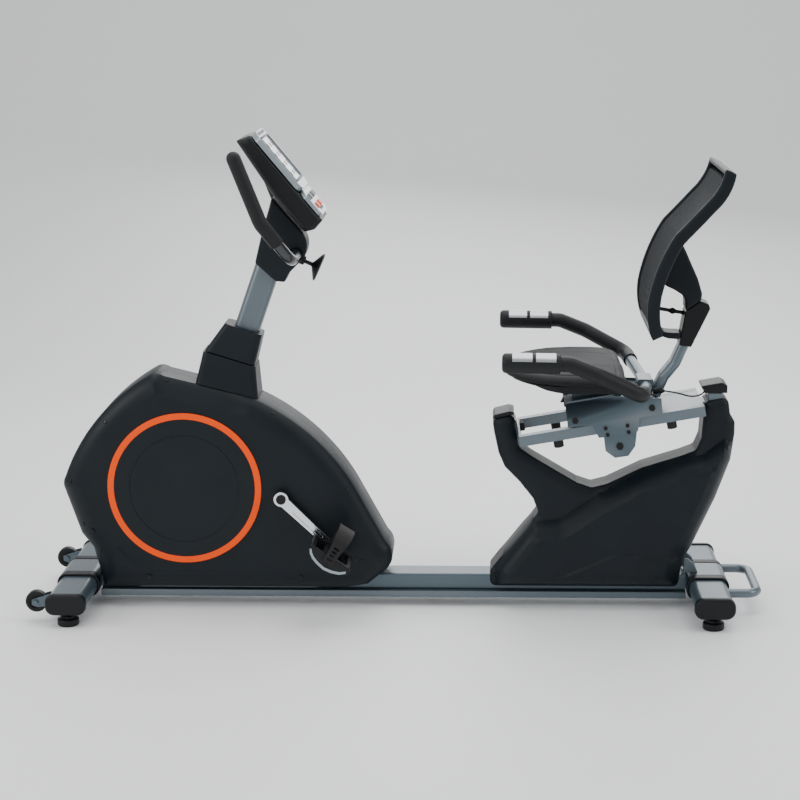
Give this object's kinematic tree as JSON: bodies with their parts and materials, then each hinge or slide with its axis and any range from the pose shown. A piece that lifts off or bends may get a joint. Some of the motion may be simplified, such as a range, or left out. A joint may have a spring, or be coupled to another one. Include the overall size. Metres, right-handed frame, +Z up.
{
  "type": "exercise bike",
  "caption": "Seated pedalling machine with a reclined backrest: an enclosed flywheel drive, a console on a leaning mast and a seat that slides on inclined rails.",
  "frame": {"origin": "on the floor, under the middle of the overall box", "axes": "+X along the bike from the flywheel end to the seat end, +Y to the rider's right, +Z up"},
  "size_m": [1.782, 0.6258, 1.1668],
  "materials": {
    "frame_paint": "satin",
    "light_paint": "satin",
    "cover_plastic": "satin",
    "accent_orange": "gloss",
    "disc_plastic": "satin",
    "black_plastic": "satin",
    "black_bolt": "blackened",
    "black_paint": "gloss",
    "rubber": "matte",
    "foam": "matte foam",
    "steel": "brushed",
    "chrome": "polished",
    "cast_iron": "machined",
    "silver_plastic": "satin",
    "screen": "gloss",
    "key_plastic": "matte",
    "key_red": "matte",
    "seat_cover": "matte",
    "back_mesh": "woven"
  },
  "bodies": {
    "frame": {"main_beam": "frame_paint", "stabilizers": "frame_paint", "stabilizer_collars": "black_plastic", "stabilizer_caps": "black_plastic", "levelling_feet": "black_plastic", "lift_handle": "light_paint", "front_shroud_left": "cover_plastic", "front_shroud_right": "cover_plastic", "accent_rings": "accent_orange", "disc_covers": "disc_plastic", "shroud_screws": "black_bolt", "mast_boots": "cover_plastic", "mast_tube": "frame_paint", "drive_frame": "frame_paint", "drive_bearings": "steel", "drive_belt": "rubber", "tension_motor": "black_plastic", "mast_head": "cover_plastic", "console_shell": "black_plastic", "console_face": "silver_plastic", "console_screen": "screen", "rear_shroud_left": "cover_plastic", "rear_shroud_right": "cover_plastic", "uprights": "light_paint", "upright_caps": "black_plastic", "seat_rails": "light_paint", "rail_stops": "rubber"},
    "crank": {"crankset": "chrome", "crank_caps": "black_plastic", "drive_pulley": "black_plastic"},
    "pedal_left_body": {"pedal_left": "black_plastic", "pedal_strap_left": "rubber"},
    "pedal_right_body": {"pedal_right": "black_plastic", "pedal_strap_right": "rubber"},
    "flywheel_body": {"flywheel": "cast_iron"},
    "brake": {"brake_carrier": "steel"},
    "wheel_left": {"transport_wheel_left": "black_plastic"},
    "wheel_right": {"transport_wheel_right": "black_plastic"},
    "carriage": {"carriage_frame": "frame_paint", "carriage_fasteners": "black_bolt", "seat_cushion": "seat_cover", "seat_pan": "black_plastic", "seat_handlebar": "light_paint", "seat_bar_grips": "foam", "pulse_pads": "steel", "back_support": "light_paint", "back_block": "black_plastic", "backrest_frame": "cover_plastic", "backrest_pad": "back_mesh", "pulse_cable": "rubber"},
    "rollers_front": {"seat_rollers_front": "black_plastic"},
    "rollers_rear": {"seat_rollers_rear": "black_plastic"},
    "lever": {"seat_lever": "black_plastic"},
    "front_bar": {"front_handlebar": "black_paint", "front_grips": "foam"},
    "knob": {"clamp_knob": "black_plastic"},
    "key_up": {"button_up": "key_plastic"},
    "key_down": {"button_down": "key_plastic"},
    "key_mode": {"button_mode": "key_red"},
    "key_reset": {"button_reset": "key_red"}
  },
  "joints": [
    {"name": "flywheel_spin", "type": "hinge", "parent": "frame", "child": "flywheel_body", "pos_m": [-0.515, 0, 0.305], "axis": [0, 1, 0], "continuous": true},
    {"name": "crank_turn", "type": "hinge", "parent": "frame", "child": "crank", "pos_m": [-0.278, 0, 0.289], "axis": [0, 1, 0], "continuous": true},
    {"name": "pedal_left_spin", "type": "hinge", "parent": "crank", "child": "pedal_left_body", "pos_m": [-0.15571, -0.187, 0.17091], "axis": [0, 1, 0], "continuous": true},
    {"name": "pedal_right_spin", "type": "hinge", "parent": "crank", "child": "pedal_right_body", "pos_m": [-0.40029, 0.187, 0.40709], "axis": [0, 1, 0], "continuous": true},
    {"name": "brake_swing", "type": "hinge", "parent": "frame", "child": "brake", "pos_m": [-0.55129, -0.017, 0.45054], "axis": [0, 1, 0], "range_deg": [0, 8]},
    {"name": "wheel_left_spin", "type": "hinge", "parent": "frame", "child": "wheel_left", "pos_m": [-0.865, -0.18, 0.052], "axis": [0, 1, 0], "continuous": true},
    {"name": "wheel_right_spin", "type": "hinge", "parent": "frame", "child": "wheel_right", "pos_m": [-0.865, 0.18, 0.052], "axis": [0, 1, 0], "continuous": true},
    {"name": "seat_slide", "type": "slide", "parent": "frame", "child": "carriage", "axis": [0.9848, 0, 0.1736], "range_m": [-0.1, 0.09]},
    {"name": "rollers_front_spin", "type": "hinge", "parent": "carriage", "child": "rollers_front", "pos_m": [0.42803, 0, 0.48823], "axis": [0, 1, 0], "range_deg": [-305, 275]},
    {"name": "rollers_rear_spin", "type": "hinge", "parent": "carriage", "child": "rollers_rear", "pos_m": [0.61022, 0, 0.52036], "axis": [0, 1, 0], "range_deg": [-305, 275]},
    {"name": "lever_press", "type": "hinge", "parent": "carriage", "child": "lever", "pos_m": [0.448, 0, 0.512], "axis": [0, 1, 0], "range_deg": [-12, 0], "stiffness_Nm_per_rad": 0.5, "springref_deg": 5.73},
    {"name": "bar_tilt", "type": "hinge", "parent": "frame", "child": "front_bar", "pos_m": [-0.24, 0, 0.874], "axis": [0, 1, 0], "range_deg": [-10, 10]},
    {"name": "knob_turn", "type": "hinge", "parent": "frame", "child": "knob", "pos_m": [-0.188, 0, 0.838], "axis": [0.9165, 0, -0.4], "continuous": true},
    {"name": "up_press", "type": "slide", "parent": "frame", "child": "key_up", "axis": [-0.7695, 0, -0.6386], "range_m": [0, 0.0015], "stiffness_N_per_m": 400, "springref_m": -0.0008},
    {"name": "down_press", "type": "slide", "parent": "frame", "child": "key_down", "axis": [-0.7695, 0, -0.6386], "range_m": [0, 0.0015], "stiffness_N_per_m": 400, "springref_m": -0.0008},
    {"name": "mode_press", "type": "slide", "parent": "frame", "child": "key_mode", "axis": [-0.7695, 0, -0.6386], "range_m": [0, 0.0015], "stiffness_N_per_m": 400, "springref_m": -0.0008},
    {"name": "reset_press", "type": "slide", "parent": "frame", "child": "key_reset", "axis": [-0.7695, 0, -0.6386], "range_m": [0, 0.0015], "stiffness_N_per_m": 400, "springref_m": -0.0008}
  ],
  "couplings": [
    {"joint": "crank_turn", "follows": "flywheel_spin", "ratio": 0.17391},
    {"joint": "rollers_front_spin", "follows": "seat_slide", "rad_per_m": 52.632},
    {"joint": "rollers_rear_spin", "follows": "seat_slide", "rad_per_m": 52.632}
  ]
}
